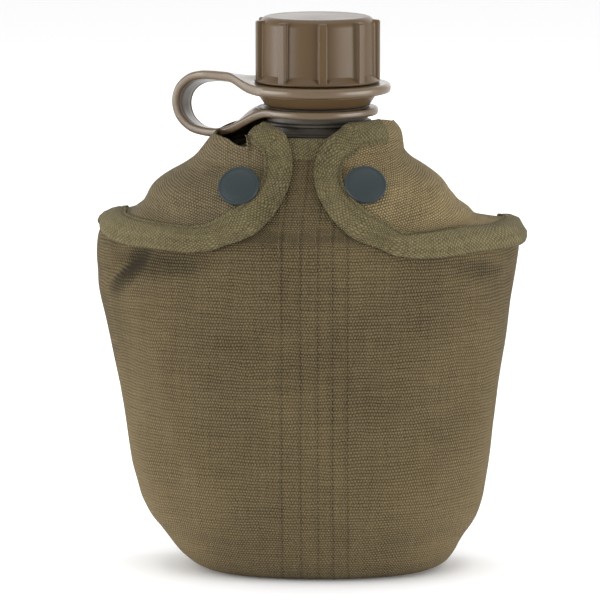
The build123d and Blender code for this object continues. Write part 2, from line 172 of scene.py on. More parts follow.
# -------- materials
class Nodes:
    """Short names for building a material's node tree."""

    def __init__(self, name, rough=0.6, metallic=0.0):
        self.material = bpy.data.materials.new(name)
        self.material.use_nodes = True
        self.tree = self.material.node_tree
        self.tree.nodes.clear()
        self.out = self.tree.nodes.new("ShaderNodeOutputMaterial")
        self.shader = self.tree.nodes.new("ShaderNodeBsdfPrincipled")
        self.tree.links.new(self.shader.outputs[0], self.out.inputs["Surface"])
        self.set("Roughness", rough)
        self.set("Metallic", metallic)

    def set(self, socket, value):
        """A constant stays on the shader's own socket; a node's output is linked."""
        if hasattr(value, "node"):
            self.tree.links.new(value, self.shader.inputs[socket])
        else:
            self.shader.inputs[socket].default_value = value

    def math(self, operation, a, b=None, clamp=False):
        """One Math node; a and b are numbers or other nodes' outputs."""
        node = self.tree.nodes.new("ShaderNodeMath")
        node.operation = operation
        node.use_clamp = clamp
        for index, value in enumerate((a, b)):
            if value is None:
                continue
            if hasattr(value, "node"):
                self.tree.links.new(value, node.inputs[index])
            else:
                node.inputs[index].default_value = value
        return node.outputs[0]

    def mix(self, factor, a, b):
        node = self.tree.nodes.new("ShaderNodeMix")
        node.data_type = "RGBA"
        for socket, value in (("Factor", factor), ("A", a), ("B", b)):
            target = [i for i in node.inputs if i.name == socket and i.enabled][0]
            if hasattr(value, "node"):
                self.tree.links.new(value, target)
            else:
                target.default_value = value if socket == "Factor" else (*value, 1.0)
        return [o for o in node.outputs if o.enabled][0]

    def noise(self, vector, scale, detail=3.0, rough=0.5):
        node = self.tree.nodes.new("ShaderNodeTexNoise")
        node.inputs["Scale"].default_value = scale
        node.inputs["Detail"].default_value = detail
        node.inputs["Roughness"].default_value = rough
        self.tree.links.new(vector, node.inputs["Vector"])
        return node.outputs["Fac"]

    def stretch(self, vector, factors):
        node = self.tree.nodes.new("ShaderNodeVectorMath")
        node.operation = "MULTIPLY"
        self.tree.links.new(vector, node.inputs[0])
        node.inputs[1].default_value = factors
        return node.outputs[0]

    def cloth(self):
        node = self.tree.nodes.new("ShaderNodeUVMap")
        node.uv_map = "cloth"
        return node.outputs["UV"]

    def position(self):
        node = self.tree.nodes.new("ShaderNodeTexCoord")
        return node.outputs["Object"]

    def flat_position(self):
        """The object's own x and z, on the same scale as the cloth chart."""
        x, _, z = self.tree.nodes.new("ShaderNodeSeparateXYZ").outputs
        self.tree.links.new(self.position(), x.node.inputs[0])
        node = self.tree.nodes.new("ShaderNodeCombineXYZ")
        self.tree.links.new(self.math("MULTIPLY", x, 10.0), node.inputs[0])
        self.tree.links.new(self.math("MULTIPLY", z, 10.0), node.inputs[1])
        return node.outputs[0]

    def split(self, vector):
        node = self.tree.nodes.new("ShaderNodeSeparateXYZ")
        self.tree.links.new(vector, node.inputs[0])
        return node.outputs[0], node.outputs[1]

    def bump(self, height, distance, strength=1.0):
        node = self.tree.nodes.new("ShaderNodeBump")
        node.inputs["Strength"].default_value = strength
        node.inputs["Distance"].default_value = distance
        self.tree.links.new(height, node.inputs["Height"])
        self.set("Normal", node.outputs[0])


def ramp(nodes, value, low, high):
    """value moved from low..high to 0..1, clamped."""
    return nodes.math("MULTIPLY", nodes.math("SUBTRACT", value, low), 1.0 / (high - low), clamp=True)


SEAM_HALF_WIDTH = 0.008  # of the dent at a seam, in chart units


def woven(
    name, light, dark, pitch, depth,
    turn=0.0, patch=0.12, charted=True, seams=(), contrast=1.0, grain=130.0, painted_low_light=0.0, crease_shades=(),
):
    """Plain weave: threads at the given pitch in mm, turned by an angle, with uneven yarns and faded patches.

    seams are dented lines at distances round the cloth in mm, darkened with painted shade in the dent, and
    creases are soft ellipses of painted shade in the folds.
    """
    m = Nodes(name, 0.9)

    def add(a, b, clamp=False):
        return m.math("ADD", a, b, clamp)

    def less(a, b, clamp=False):
        return m.math("SUBTRACT", a, b, clamp)

    def times(a, b, clamp=False):
        return m.math("MULTIPLY", a, b, clamp)

    uv = m.cloth() if charted else m.flat_position()
    u, v = m.split(uv)
    across, up = u, v
    if turn:
        c, s = math.cos(turn), math.sin(turn)
        u, v = add(times(u, c), times(v, s)), less(times(v, c), times(u, s))
    wander = times(less(m.noise(uv, 7.0, 2.0), 0.5), 0.022)
    u = add(u, wander)
    v = add(v, wander)
    turns = math.pi / (pitch * CHART_UNIT)
    weft = m.math("SINE", times(v, turns))
    shift = times(m.math("GREATER_THAN", weft, 0.0), math.pi / 2)
    warp = m.math("SINE", add(times(u, turns * 1.12), shift))
    cross = m.math("ABSOLUTE", times(warp, weft))
    slub_u = m.noise(m.stretch(uv, (70.0, 5.0, 1.0)), 1.0, 2.0)
    slub_v = m.noise(m.stretch(uv, (5.0, 70.0, 1.0)), 1.0, 2.0)
    slub = add(times(slub_u, 0.4), times(slub_v, 0.6))
    fuzz = m.noise(uv, grain, 3.0, 0.75)
    fade = m.noise(uv, 1.8, 4.0, 0.6)
    height = add(cross, add(times(slub, 0.5), times(fuzz, 0.5)))
    shade = add(times(cross, 0.62 * contrast), times(ramp(m, slub, 0.3, 0.7), 0.22))
    shade = add(shade, times(less(fuzz, 0.45), 0.9 * contrast))
    shade = add(shade, times(less(fade, 0.5), patch * 6.0), clamp=True)
    if painted_low_light:
        # painted light: paler low on the sides, more so on the left, standing in for light from low at the
        # sides
        low = less(1.0, ramp(m, v, 0.55, 1.35))
        side = add(0.25, ramp(m, m.math("ABSOLUTE", across), 0.30, 0.75))
        side = add(side, times(ramp(m, times(across, -1.0), 0.2, 0.7), 0.4))
        shade = add(shade, times(times(low, side), painted_low_light), clamp=True)
    # painted shade: each ellipse darkens the colour where a fold lies in shade
    for u0, v0, turned_by, length, width, amount in crease_shades:
        c, s = math.cos(turned_by), math.sin(turned_by)
        du, dv = less(across, u0), less(up, v0)
        a = add(times(du, c / length), times(dv, s / length))
        b = less(times(dv, c / width), times(du, s / width))
        near = m.math("POWER", less(1.0, add(times(a, a), times(b, b)), clamp=True), 1.5)
        shade = less(shade, times(near, amount), clamp=True)
    for place in seams:
        gap = m.math("ABSOLUTE", less(across, place * CHART_UNIT))
        dent = less(1.0, times(gap, 1.0 / SEAM_HALF_WIDTH, clamp=True), clamp=True)
        # painted shade: the colour darkens in the seam's dent, besides the bump
        shade = less(shade, times(dent, 0.16), clamp=True)
        height = less(height, times(dent, 0.7))
    m.set("Base Color", m.mix(shade, dark, light))
    m.set("Sheen Weight", 0.02)
    m.set("Sheen Roughness", 0.6)
    m.set("Specular IOR Level", 0.08)
    m.bump(height, depth * MM)
    return m.material


def plastic(name, colour, rough, grain=0.02, fleck=0.08, specular=0.5):
    """Moulded plastic or any other plain matter, slightly uneven in colour and gloss."""
    m = Nodes(name, rough)
    place = m.position()
    broad = m.noise(place, 60.0, 3.0)
    fine = m.noise(place, 1600.0, 3.0, 0.6)
    darker = tuple(c * (1 - fleck) for c in colour)
    lighter = tuple(min(1.0, c * (1 + fleck)) for c in colour)
    m.set("Base Color", m.mix(broad, darker, lighter))
    m.set("Roughness", m.math("ADD", m.math("MULTIPLY", broad, 0.12), rough - 0.06))
    m.set("Specular IOR Level", specular)
    m.bump(fine, grain * MM, 0.6)
    return m.material


WORN_METAL = (0.12, 0.12, 0.12)


def metal(name, colour, rough, metallic=0.9, coat=0.0, wear=0.0):
    """Dull metal with small bright worn spots."""
    m = Nodes(name, rough, metallic)
    place = m.position()
    broad = m.noise(place, 220.0, 4.0, 0.6)
    m.set("Base Color", m.mix(m.math("MULTIPLY", ramp(m, broad, 0.6, 0.75), wear), colour, WORN_METAL))
    m.set("Roughness", m.math("ADD", m.math("MULTIPLY", broad, 0.2), rough - 0.1))
    m.set("Coat Weight", coat)
    m.set("Coat Roughness", 0.25)
    m.bump(broad, 0.03 * MM, 0.5)
    return m.material


# lengths round the front, in mm, of the upright stitch rows
STITCH_ROWS = (-7.9, -1.0, 5.2, 10.6, 16.0)
# light and dark of the threads
OLIVE = (0.162, 0.121, 0.061), (0.022, 0.0165, 0.0075)
# the back's canvas is painted paler low on the sides: painted light
CANVAS_BACK = woven("canvas_back", *OLIVE, 1.18, 0.4, painted_low_light=0.24)
# painted light: the right flap gets a lighter copy of the same canvas, standing in for more light falling on it
FLAP_LEFT = woven("canvas_flap_left", (0.196, 0.152, 0.084), (0.028, 0.022, 0.011), 1.15, 0.42, turn=-0.35)
FLAP_RIGHT_LIT = woven("canvas_flap_right", (0.290, 0.220, 0.108), (0.040, 0.030, 0.015), 1.15, 0.42, turn=0.30)
TAPE_TONES = (0.222, 0.183, 0.093), (0.036, 0.030, 0.014)
TAPE = woven("binding_tape", *TAPE_TONES, 0.95, 0.34, patch=0.1, contrast=0.7, grain=85.0, turn=0.7)
WEBBING = woven("webbing", (0.150, 0.124, 0.062), (0.044, 0.036, 0.018), 0.9, 0.26, charted=False)
FELT = plastic("felt", (0.10, 0.085, 0.055), 0.95, grain=0.2, fleck=0.2, specular=0.1)
THREAD = plastic("thread", (0.088, 0.069, 0.036), 0.8, fleck=0.3, specular=0.2)
CAP = plastic("cap_plastic", (0.070, 0.0432, 0.0205), 0.36, grain=0.010, specular=0.17)
STRAP = plastic("strap_plastic", (0.090, 0.060, 0.032), 0.32, grain=0.010, specular=0.36)
BOTTLE = plastic("bottle_plastic", (0.040, 0.034, 0.025), 0.5, specular=0.3)
RUBBER = plastic("gasket_rubber", (0.02, 0.02, 0.02), 0.7)
SNAP = plastic("snap_enamel", (0.0155, 0.0230, 0.0250), 0.5, fleck=0.1, specular=0.2)
BRASS = metal("dull_brass", (0.20, 0.15, 0.07), 0.5)
STEEL = metal("blackened_steel", (0.03, 0.03, 0.032), 0.42, metallic=0.7, coat=0.15, wear=0.5)

# -------- the cover's surface
# height, half width left and right of the middle, half depth in front and behind
BODY_ROWS = (
    (0.3, 12, 12, 6, 6),
    (0, 26, 28, 13.5, 13),
    (0, 36, 40, 20.5, 19),
    (0.7, 38.8, 46.4, 24.6, 22.6),
    (2.8, 43.8, 51.4, 28, 25.4),
    (6.5, 48.6, 54.2, 30.4, 27.8),
    (10.5, 52, 56.2, 31.6, 29.2),
    (13.2, 54.2, 58, 32.2, 30),
    (16, 56.6, 60.2, 33.2, 31),
    (20, 59.8, 62.4, 34.4, 32),
    (26, 63.2, 64.3, 35.4, 33),
    (38, 66.6, 66.2, 36.6, 34.2),
    (53, 69, 67.8, 37.4, 35.2),
    (68, 71.9, 69.6, 37.8, 36),
    (83, 75.2, 71.9, 38.2, 36.8),
    (98, 78.5, 73.7, 38.4, 37.2),
    (110, 80.2, 75.7, 38.4, 37.3),
    (119, 80.2, 76.9, 38, 37.2),
    (123, 79.8, 76.4, 37.5, 36.9),
    (125.2, 79, 74.8, 37.1, 36.6),
    (126.4, 77.4, 71, 36.7, 36.3),
    (127.4, 75, 64, 36.4, 36.1),
    (128.6, 71, 60, 36, 35.8),
    (130.2, 66.2, 57.8, 35.6, 35.5),
    (133, 62.2, 55.2, 34.9, 34.9),
    (136, 59.8, 52.6, 34, 34.1),
    (140, 57, 49.2, 32.6, 32.8),
    (144, 52.6, 45.2, 31, 31.2),
    (148, 47.4, 39.6, 29.2, 29.4),
    (152, 42.4, 33.6, 27.6, 27.8),
    (156, 38.8, 30, 26.4, 26.6),
    (160, 35.8, 29.4, 25.5, 25.5),
    (163, 31.6, 28.8, 25, 25),
    (165.2, 26.6, 26.8, 24.6, 24.6),
    (168, 23.6, 23.6, 23.9, 23.9),
    (172, 23.2, 23.2, 23.6, 23.6),
)
BEND = 0.0032  # how far the whole cover curves back at its sides, per mm squared


def smooth_rows(count=420):
    """BODY_ROWS as an even, smooth profile along its length."""
    points = np.array(BODY_ROWS)
    along = run(points[:, (0, 1)])
    out = look_up(np.linspace(0, along[-1], count), along, points)
    return smoothed(np.vstack([np.repeat(out[:1], 6, 0), out, np.repeat(out[-1:], 6, 0)]), 6)


PROFILE = smooth_rows()
LENGTH = run(PROFILE[:, (0, 1)])
SIDE_START = int(np.argmax(PROFILE[:, 0] > 1.0))
HEIGHTS = PROFILE[SIDE_START:, 0]
T_AT_HEIGHT = LENGTH[SIDE_START:]


def t_of(z):
    """Length up the side's profile to a height."""
    return np.interp(z, HEIGHTS, T_AT_HEIGHT)


def raw_surface(angle, t):
    """The canvas's outer surface at a turn round the body and a length up its profile."""
    angle, t = np.broadcast_arrays(np.asarray(angle, float), np.asarray(t, float))
    z, left, right, front, back = (np.interp(t, LENGTH, PROFILE[:, k]) for k in range(5))
    cos, sin = np.cos(angle), np.sin(angle)
    weight = 0.5 + 0.5 * np.clip(cos * 4, -1, 1)
    a = left + (right - left) * weight * weight * (3 - 2 * weight)
    weight = 0.5 + 0.5 * np.clip(sin * 4, -1, 1)
    b = front + (back - front) * weight * weight * (3 - 2 * weight)
    square = 2 + 0.8 * np.clip((a - b) / 14, 0, 1)
    r = (np.abs(cos) ** square + np.abs(sin) ** square) ** (-1 / square)
    shift = NECK_X * np.clip((z - 126) / 32, 0, 1)
    x = a * r * cos
    y = b * r * sin + BEND * np.clip((156 - z) / 28, 0, 1) * x * x
    return np.stack([x + shift, y, z], axis=-1)


TURN_NUDGE = 0.004  # radians, for slopes round the cover


def normal_at(angle, t):
    e = TURN_NUDGE
    du = raw_surface(angle + e, t) - raw_surface(angle - e, t)
    dv = raw_surface(angle, t + 0.6) - raw_surface(angle, t - 0.6)
    n = np.cross(du, dv)
    return n / np.maximum(np.linalg.norm(n, axis=-1, keepdims=True), 1e-9)


def surface(angle, t, lift=0.0):
    """The canvas's surface moved outward by lift."""
    lift = np.asarray(lift, float)
    return raw_surface(angle, t) + normal_at(angle, t) * lift[..., None]


# A chart of the cover: u is the length round the body from the middle of the front, v the height.
CHART_Z = np.linspace(4.0, 171.0, 180)
TURN_STEPS = 720
CHART_ANGLE = np.linspace(FRONT - math.pi, FRONT + math.pi, TURN_STEPS + 1)
_grid = raw_surface(CHART_ANGLE[None, :], t_of(CHART_Z)[:, None])
_step = np.linalg.norm(np.diff(_grid, axis=1), axis=2)
CHART_U = np.concatenate([np.zeros((len(CHART_Z), 1)), np.cumsum(_step, axis=1)], axis=1)
CHART_U -= CHART_U[:, TURN_STEPS // 2 : TURN_STEPS // 2 + 1]


def chart_row(z):
    """Where heights lie among the chart's rows, as a number with its fraction."""
    return np.clip((z - CHART_Z[0]) / (CHART_Z[1] - CHART_Z[0]), 0, len(CHART_Z) - 1.001)


def angle_of(u, z):
    """The turn round the body at length u and height z."""
    u, z = np.broadcast_arrays(np.asarray(u, float), np.asarray(z, float))
    flat_u, flat_z = u.ravel(), z.ravel()
    place = chart_row(flat_z)
    low = place.astype(int)
    part = place - low
    out = np.empty(len(flat_u))
    for row in np.unique(low):
        pick = low == row
        here = np.interp(flat_u[pick], CHART_U[row], CHART_ANGLE)
        above = np.interp(flat_u[pick], CHART_U[row + 1], CHART_ANGLE)
        out[pick] = here + (above - here) * part[pick]
    return out.reshape(u.shape)


def u_of_x(x, z):
    """Length round the front to the point that is x right of the middle."""
    angles = np.linspace(FRONT - math.pi / 2, FRONT + math.pi / 2, TURN_STEPS + 1)
    angle = np.interp(x, raw_surface(angles, t_of(z))[:, 0], angles)
    place = chart_row(float(z))
    low = int(place)
    here = np.interp(angle, CHART_ANGLE, CHART_U[low])
    above = np.interp(angle, CHART_ANGLE, CHART_U[low + 1])
    return here + (above - here) * (place - low)


def waves(x, z, seed):
    """Small smooth unevenness, about 1 high."""
    rng = np.random.default_rng(seed)
    total = 0.0
    for _ in range(9):
        kx, kz = rng.normal(0, 0.11, 2)
        total = total + np.sin(kx * x + kz * z + rng.uniform(0, 6.28)) / 3
    return total


def ridge(x, z, ends, width, height):
    """A soft fold along a line between two points in front view."""
    x0, z0, x1, z1 = ends
    dx, dz = x1 - x0, z1 - z0
    t = np.clip(((x - x0) * dx + (z - z0) * dz) / (dx * dx + dz * dz), 0, 1)
    gap = np.hypot(x - x0 - t * dx, z - z0 - t * dz)
    taper = np.sin(np.pi * np.clip(t, 0.04, 0.96)) ** 0.5
    return height * taper * np.exp(-((gap / width) ** 2))


# folds of the front: two ends in front view, width, height
FOLDS = (
    (-76.5, 110, -57, 122.5, 3.4, -4.4),
    (-76, 118.5, -69, 121, 2.2, 0.9),
    (-76, 104, -62, 112, 5.0, 0.9),
    (-68, 100, -66, 62, 4.5, -0.9),
    (-54, 92, -50, 50, 6.0, 0.9),
    (-62, 56, -52, 20, 4.0, 0.9),
    (-56, 66, -40, 24, 3.6, -0.6),
    (58, 116, 74, 107, 4.2, -2.0),
    (46, 117, 68, 113, 3.6, -0.9),
    (62, 104, 74, 92, 5.0, 0.8),
    (66, 88, 62, 50, 5.0, 0.6),
    (-54, 16, -30, 11, 3.0, -0.8),
    (56, 17, 30, 11, 3.0, -0.8),
    (-44, 22, -20, 14, 4.0, 0.7),
    (-12, 31, 16, 31, 1.6, 0.3),
    (-30, 112, 20, 96, 8.0, 0.4),
)


def fade_to_ends(z):
    """Unevenness dies out towards the base and the neck."""
    return np.clip(z / 30, 0.2, 1) * np.clip((160 - z) / 30, 0, 1)


def front_lift(x, z):
    """How far the front's canvas stands off its smooth shape."""
    lift = 0.35 * waves(x, z, 5) * fade_to_ends(z)
    for fold in FOLDS:
        lift = lift + ridge(x, z, fold[:4], fold[4], fold[5])
    return lift


def u_at(angle, z):
    """Length round the body for arrays of turns and heights."""
    angle, z = np.broadcast_arrays(np.asarray(angle, float), np.asarray(z, float))
    row = chart_row(z)
    column = np.clip((angle - CHART_ANGLE[0]) / (CHART_ANGLE[1] - CHART_ANGLE[0]), 0, TURN_STEPS - 0.001)
    i, j = row.astype(int), column.astype(int)
    a, b = row - i, column - j
    low = CHART_U[i, j] * (1 - b) + CHART_U[i, j + 1] * b
    high = CHART_U[i + 1, j] * (1 - b) + CHART_U[i + 1, j + 1] * b
    return low * (1 - a) + high * a


def grid_normals(points):
    """Unit normals of a grid of points, columns first."""
    n = np.cross(np.gradient(points, axis=1), np.gradient(points, axis=0))
    return n / np.maximum(np.linalg.norm(n, axis=2, keepdims=True), 1e-9)


def cloth(name, outer, uv, thickness, material, outward=1.0, **how):
    """A sheet with its own thickness under a grid of outer points, with closed edges."""
    rows, columns = outer.shape[:2]
    inner = outer - outward * thickness * grid_normals(outer)
    verts = np.vstack([outer.reshape(-1, 3), inner.reshape(-1, 3)])
    count = rows * columns
    flip = outward < 0
    faces = grid_faces(rows, columns, flip=flip) + grid_faces(rows, columns, start=count, flip=not flip)
    ring = [(0, j) for j in range(columns)] + [(i, columns - 1) for i in range(1, rows)]
    ring += [(rows - 1, j) for j in range(columns - 2, -1, -1)] + [(i, 0) for i in range(rows - 2, 0, -1)]
    ids = [i * columns + j for i, j in ring]
    for here, there in zip(ids, ids[1:] + ids[:1]):
        quad = (here, here + count, there + count, there)
        faces.append(quad[::-1] if flip else quad)
    return mesh(name, verts, faces, material, np.vstack([uv, uv]), **how)


def ease(value, low, high):
    """0 below low, 1 above high, and a smooth step between."""
    t = np.clip((value - low) / (high - low), 0, 1)
    return t * t * (3 - 2 * t)


def left_dip(degrees):
    """Share of the hollow in the collar under the strap, by degrees round to the left from the front."""
    return ease(degrees, 30, 44) * (1 - ease(degrees, 100, 130))


def half(start, end, top, lift, columns, rows, inset=0.0, dip=5.0):
    """Grid of the cover between two turns, from the drain hole to a height, and its chart."""
    angle, share = np.meshgrid(np.linspace(start, end, columns), np.linspace(0, 1, rows))
    degrees = np.degrees((FRONT - angle) % (2 * math.pi))
    t = share * t_of(top - dip * left_dip(degrees))
    flat = raw_surface(angle, t)
    seam = np.clip(np.abs(np.sin(angle)) * 3.2, 0, 1)  # both halves meet at the same height
    outer = surface(angle, t, lift(flat[..., 0], flat[..., 2]) * seam - inset)
    outer[..., 2] = np.maximum(outer[..., 2], 0.02)
    steps = np.linalg.norm(np.diff(outer, axis=1), axis=2)
    u = np.concatenate([np.zeros((rows, 1)), np.cumsum(steps, axis=1)], axis=1)
    u -= u[:, columns // 2 : columns // 2 + 1]
    return outer, np.column_stack([u.ravel(), t.ravel()])


# -------- front and back panels
def crease_shade(x, z, turn, length, width, amount):
    """Painted shade of a fold on the front panel: a darker ellipse, in the material's own units."""
    u, v, length, width = (value * CHART_UNIT for value in (u_of_x(x, z), float(t_of(z)), length, width))
    return (u, v, turn, length, width, amount)


# painted shade in the folds under the flaps' ends, strongest under the left one
CREASE_SHADES = (
    crease_shade(-66.0, 113.5, 0.72, 18.0, 6.5, 0.60),
    crease_shade(-52.0, 117.0, 0.10, 28.0, 7.0, 0.30),
    crease_shade(64.0, 114.5, -0.20, 18.0, 5.0, 0.22),
)
# the front's canvas: painted light low on the sides, and painted shade in its folds and seam dents
CANVAS = woven("canvas", *OLIVE, 1.18, 0.4, seams=STITCH_ROWS, painted_low_light=0.34, crease_shades=CREASE_SHADES)


def back_lift(x, z):
    return 0.3 * waves(x, z, 8) * fade_to_ends(z)


SIDE = math.pi / 2
outer, uv = half(FRONT - SIDE, FRONT + SIDE, 162.6, front_lift, 260, 260)
front_panel = cloth("front_panel_cloth", outer, uv, 1.2, CANVAS, replaces=["front_panel"])
outer, uv = half(0.0, math.pi, 160.5, back_lift, 180, 180)
back_panel = cloth("back_panel_cloth", outer, uv, 1.2, CANVAS_BACK, replaces=["back_panel"])
for side, centre, top, lift in (("front", FRONT, 162.2, front_lift), ("back", SIDE, 160.2, back_lift)):
    outer, uv = half(centre - SIDE, centre + SIDE, top, lift, 160, 160, inset=1.6)
    outer[..., 2] = np.maximum(outer[..., 2], 1.5)
    liner = cloth(f"liner_{side}_cloth", outer, uv, 1.7, FELT, replaces=[f"liner_{side}"])

# -------- bottle
outer, uv = half(-math.pi, math.pi, 168.0, lambda x, z: 0 * x, 180, 150, inset=6.2, dip=0.0)
outer[..., 2] = np.maximum(outer[..., 2], 3.4)
outer[0] = outer[0].mean(axis=0)
body_part = (outer.reshape(-1, 3), grid_faces(150, 180))
# radius and height, up the outside with its two beads and down the inside
neck = [(18.6, 150), (18.6, 162.6), (20.0, 162.9), (20.0, 163.8), (18.6, 164.1), (18.6, 166.3), (20.0, 166.6)]
neck += [(20.0, 167.5), (18.6, 167.8), (18.6, 172.8), (17.0, 173.3), (17.0, 199.4), (16.4, 200), (14.0, 200)]
neck += [(13.4, 199.4), (13.4, 150)]
mesh("bottle_moulding", *join([body_part, lathe(rounded(neck, 0.3, 3))]), BOTTLE, replaces=["bottle"])
THREAD_PITCH, THREAD_Z, THREAD_R, THREAD_TURNS = 4.2, 186.5, 17.3, 1.75
turn = np.linspace(0, THREAD_TURNS * 2 * math.pi, 170)
rise = THREAD_Z + THREAD_PITCH * turn / (2 * math.pi)
ridge_line = np.column_stack([NECK_X + THREAD_R * np.cos(turn), THREAD_R * np.sin(turn), rise])
mesh("bottle_thread", *tube(ridge_line, 1.0, 10), BOTTLE)

# -------- flaps
# the flaps' free edges from the neck to the side: x and height in front, then turn in degrees and height
EDGES = {
    "left": (
        *((-13.5, 167.8), (-6.7, 164.6), (-5.1, 159.5), (-4.4, 152.3), (-5.7, 145.7), (-9.5, 138.0)),
        *((-15.2, 132.2), (-22.8, 127.1), (-31.7, 123.9), (-41.1, 122.5), (-52.6, 123.0), (-64.0, 123.0)),
        *((-71.0, 124.2), (-76.0, 126.6)),
    ),
    "right": (
        *((15.0, 169.0), (9.0, 163.5), (5.2, 157.2), (4.3, 151.3), (5.6, 143.7), (9.4, 137.5)),
        *((15.9, 131.1), (23.5, 126.4), (32.4, 122.6), (41.0, 121.2), (48.8, 121.1), (61.0, 122.2)),
    ),
}
BACK_EDGES = {
    "left": ((93, 126.0), (102, 124.5), (118, 122.0), (140, 122.0), (165, 130.0), (180.3, 134.0)),
    "right": ((92, 121.0), (104, 120.0), (118, 120.0), (140, 121.5), (165, 130.0), (180.3, 134.0)),
}
SNAP_SPOTS = {"left": (-22.2, 144.6), "right": (21.7, 145.2)}


def bump_at(x, z, centre, size, height):
    """A soft swelling in front view."""
    return height * np.exp(-(((x - centre[0]) / size[0]) ** 2) - ((z - centre[1]) / size[1]) ** 2)


def flap_lift(side, p):
    """How far the flap's outer face stands off the cover."""
    x, y, z = p[..., 0], p[..., 1], p[..., 2]
    lift = np.full(x.shape, 1.9) + 0.30 * waves(x, z, 11 if side == "left" else 17)
    if side == "left":
        lift = lift + bump_at(x, z, (-50, 141), (20, 10), 2.4) + bump_at(x, z, (-30, 158), (12, 8), 1.6)
        lift = lift + bump_at(x, z, (-76, 127), (11, 9), 0.6) - ridge(x, z, (-64, 136, -40, 133), 4.5, 1.4)
        lift = lift + ridge(x, z, (-60, 133, -36, 146), 4.0, 1.1) - ridge(x, z, (-56, 139, -34, 151), 4.0, 0.9)
    else:
        lift = lift + bump_at(x, z, (74.5, 126.5), (5, 5), 1.5) + bump_at(x, z, (40, 146), (14, 9), 0.5)
        lift = lift + ridge(x, z, (44, 134, 62, 131), 3.5, 0.9) - ridge(x, z, (46, 139, 58, 135), 4.0, 0.8)
    spot = SNAP_SPOTS[side]
    near = np.exp(-((np.hypot(x - spot[0], z - spot[1]) / 12) ** 4)) * np.clip(-y / 12, 0, 1)
    lift = lift * (1 - near) + (3.9 - 0.34 * np.clip(z - spot[1], -8, 7)) * near
    return np.clip(lift, 1.45, 8.0)


def even(path, count, smooth):
    """A line of (turn, profile length) smoothed and resampled evenly along the cover's surface."""
    path = np.asarray(path, float)
    width = 9 * smooth
    for _ in range(2):
        along = run(raw_surface(*path.T))
        path = look_up(np.linspace(0, 1, 900), along / along[-1], path)
        ends = [2 * path[0] - path[width:0:-1], path, 2 * path[-1] - path[-2 : -width - 2 : -1]]
        path = smoothed(np.vstack(ends), width)
    along = run(raw_surface(*path.T))
    return look_up(np.linspace(0, along[-1], count), along, path)


def march(path, inward, widths):
    """Lines at the given distances to one side of a line on the cover, as turns and profile lengths."""
    along = unit(np.gradient(raw_surface(*path.T), axis=0))
    lines = {}
    here = path.copy()
    last = 0.0
    for width in sorted(set(widths), key=abs):
        if width * last < 0 or (last and abs(width) < abs(last)):
            here, last = path.copy(), 0.0
        steps = max(1, int(abs(width - last) / 0.8))
        for _ in range(steps):
            angle, t = here.T
            go = inward * np.cross(normal_at(angle, t), along) * (width - last) / steps
            e = TURN_NUDGE
            da = (raw_surface(angle + e, t) - raw_surface(angle - e, t)) / (2 * e)
            dt = (raw_surface(angle, t + 0.5) - raw_surface(angle, t - 0.5)) / 1.0
            aa, bb, ab = (da * da).sum(1), (dt * dt).sum(1), (da * dt).sum(1)
            ga, gb = (go * da).sum(1), (go * dt).sum(1)
            det = np.maximum(aa * bb - ab * ab, 1e-9)
            here = here + np.column_stack([(ga * bb - gb * ab) / det, (gb * aa - ga * ab) / det])
        last = width
        lines[width] = here.copy()
    return lines


def strip(name, path, inward, section, lift, material, **how):
    """A folded tape along a line on the cover. section is (distance in from the line, height) all round."""
    lines = march(path, inward, [w for w, _ in section])
    rows = []
    for w, h in section:
        flat = raw_surface(*lines[w].T)
        rows.append(flat + normal_at(*lines[w].T) * (lift(flat) + h)[:, None])
    grid = np.array(rows)
    count, columns = grid.shape[:2]
    uv = np.column_stack([np.tile(run(grid[0]), count), np.repeat(run(np.array(section)), columns)])
    faces = grid_faces(count, columns, close_rows=True, flip=inward < 0)
    faces.append(tuple(i * columns for i in range(count)))
    faces.append(tuple(i * columns + columns - 1 for i in reversed(range(count))))
    return mesh(name, grid.reshape(-1, 3), faces, material, uv, **how)


def stitches(name, path, inward, width, lift, height, pitch=2.9, length=2.1, radius=0.22, **how):
    """A row of short threads at a distance in from a line on the cover."""
    line = march(path, inward, [width])[width] if width else path
    flat = raw_surface(*line.T)
    normals = normal_at(*line.T)
    points = flat + normals * (lift(flat) + height)[:, None]
    along = run(points)
    parts = []
    spot = 1.0
    while spot + length < along[-1]:
        spots = np.linspace(spot, spot + length, 6)
        place, up = look_up(spots, along, points), look_up(spots, along, normals)
        dip = np.array([-0.45, -0.05, 0.05, 0.05, -0.05, -0.45]) * radius * 2.2
        parts.append(tube(place + up * dip[:, None], radius, 6))
        spot += pitch
    return mesh(name, *join(parts), THREAD, **how)


def turns_of(points):
    """(x, z) points on the front as turns and profile lengths."""
    return [(float(angle_of(u_of_x(x, z), z)), float(t_of(z))) for x, z in points]


# round the folded tape: distance in from the cloth's edge, height over the cloth
TAPE_SECTION = (
    *((9.4, -0.25), (9.4, 0.55), (9.1, 0.95), (8.6, 0.95), (8.2, 0.45), (7.7, 0.95), (7.0, 1.2), (5.0, 1.35)),
    *((2.0, 1.25), (0.6, 1.0), (-0.3, 0.55), (-0.7, -0.1), (-0.55, -0.85), (0.1, -1.3), (2.0, -1.4)),
    (6.0, -1.35),
)


def crest_height(side, degrees):
    """Height of a flap's upper edge round the neck, by degrees from the front."""
    if side == "left":
        return 168.0 - 7.6 * (1 - ease(degrees, 96, 128)) - 3.4 * ease(degrees, 128, 150)
    return 168.0 - 2.2 * ease(degrees, 55, 90) - 3.4 * ease(degrees, 92, 125)


CREST_START = {"left": 60, "right": 30}
# degrees and height: the left edge turns down into the hollow under the strap
HOOK = ((50.0, 165.4), (42.0, 162.4), (35.5, 160.0), (36.5, 158.9), (42.0, 159.2), (50.0, 160.2))
NECK_TAPE = {"left": 4, "right": 52}  # points of the upper edge that the tape covers
STITCH_IN = 8.2
FLAP_COLUMNS, FLAP_ROWS = 260, 110


def around(side, degrees, z):
    """A turn from the front towards a side, and a height, as a turn and a profile length."""
    return FRONT + (-1 if side == "left" else 1) * math.radians(degrees), float(t_of(z))


